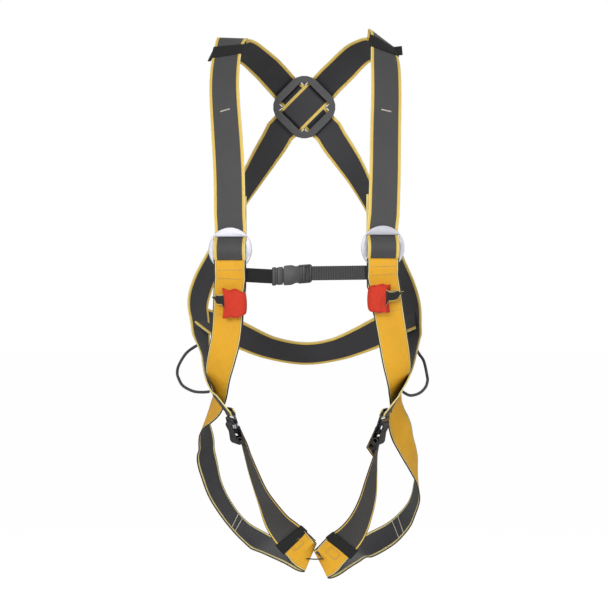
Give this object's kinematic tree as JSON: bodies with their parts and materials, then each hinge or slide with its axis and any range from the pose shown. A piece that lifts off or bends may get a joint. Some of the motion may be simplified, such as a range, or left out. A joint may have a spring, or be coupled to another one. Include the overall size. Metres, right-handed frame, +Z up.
{
  "type": "full body safety harness",
  "caption": "Fall arrest harness of two-tone webbing with a dorsal D-ring on a plate, round chest adjusters, sternal loops and thigh buckles",
  "frame": {"origin": "Where the two shoulder straps cross in the dorsal plate, on the wearer's side of the upper strap", "axes": "The wearer faces -Y, +Z is up along the spine and +X is the wearer's left"},
  "size_m": [0.3665, 0.2672, 0.7884],
  "materials": {
    "grey_webbing": "woven polyester webbing",
    "yellow_webbing": "woven polyester webbing",
    "black_webbing": "woven polyester webbing",
    "red_sleeve": "woven sleeve",
    "black_elastic": "knitted elastic",
    "plate_plastic": "moulded, fine grain",
    "buckle_plastic": "moulded",
    "bright_steel": "bright plated",
    "dark_steel": "black plated, worn bright at the edges"
  },
  "bodies": {
    "harness": {"dorsal_plate": "plate_plastic", "front_adjuster_left": "bright_steel", "front_adjuster_right": "bright_steel", "shoulder_strap_left": "grey_webbing", "shoulder_strap_right": "grey_webbing", "hip_strap_left": "grey_webbing", "hip_strap_right": "grey_webbing", "shoulder_keeper_left": "black_elastic", "shoulder_keeper_right": "black_elastic", "leg_strap_left": "yellow_webbing", "leg_strap_right": "yellow_webbing", "thigh_strap_left": "grey_webbing", "thigh_strap_right": "grey_webbing", "crotch_band_left": "black_elastic", "crotch_band_right": "black_elastic", "leg_connector": "black_elastic", "waist_strap": "grey_webbing", "thigh_buckle_frame_left": "dark_steel", "thigh_buckle_frame_right": "dark_steel", "thigh_buckle_inner_left": "dark_steel", "thigh_buckle_inner_right": "dark_steel", "thigh_buckle_slider_left": "bright_steel", "thigh_buckle_slider_right": "bright_steel", "chest_strap_left": "black_webbing", "chest_strap_right": "black_webbing", "chest_buckle_plug": "buckle_plastic", "chest_buckle_socket": "buckle_plastic"},
    "d_ring": {"dorsal_d_ring": "dark_steel"},
    "sternal_loop_l": {"sternal_loop_left": "black_webbing", "sternal_loop_sleeve_left": "red_sleeve"},
    "sternal_loop_r": {"sternal_loop_right": "black_webbing", "sternal_loop_sleeve_right": "red_sleeve"},
    "latch_upper": {"chest_buckle_latch_upper": "buckle_plastic"},
    "latch_lower": {"chest_buckle_latch_lower": "buckle_plastic"},
    "gear_loop_l": {"gear_loop_left": "black_webbing"},
    "gear_loop_r": {"gear_loop_right": "black_webbing"}
  },
  "joints": [
    {"name": "d_ring_swing", "type": "hinge", "parent": "harness", "child": "d_ring", "pos_m": [0, 0.0142, 0.008], "axis": [1, 0, 0], "range_deg": [0, 175]},
    {"name": "sternal_loop_left_swing", "type": "hinge", "parent": "harness", "child": "sternal_loop_l", "pos_m": [-0.12231, -0.22825, -0.29582], "axis": [-0.0157, -0.068, 0.9976], "range_deg": [-100, 0]},
    {"name": "sternal_loop_right_swing", "type": "hinge", "parent": "harness", "child": "sternal_loop_r", "pos_m": [0.13312, -0.22814, -0.28882], "axis": [0.0157, -0.068, 0.9976], "range_deg": [0, 100]},
    {"name": "latch_upper_squeeze", "type": "hinge", "parent": "harness", "child": "latch_upper", "pos_m": [-0.0315, -0.219, -0.2492], "axis": [0, 1, 0], "range_deg": [0, 7], "stiffness_Nm_per_rad": 0.5},
    {"name": "latch_lower_squeeze", "type": "hinge", "parent": "harness", "child": "latch_lower", "pos_m": [-0.0315, -0.219, -0.2622], "axis": [0, 1, 0], "range_deg": [-7, 0], "stiffness_Nm_per_rad": 0.5},
    {"name": "gear_loop_left_swing", "type": "hinge", "parent": "harness", "child": "gear_loop_l", "pos_m": [-0.14317, -0.14199, -0.38687], "axis": [0.1519, -0.7556, -0.6372], "range_deg": [-25, 25]},
    {"name": "gear_loop_right_swing", "type": "hinge", "parent": "harness", "child": "gear_loop_r", "pos_m": [0.15283, -0.14641, -0.39206], "axis": [-0.1551, -0.7792, -0.6073], "range_deg": [-25, 25]}
  ]
}
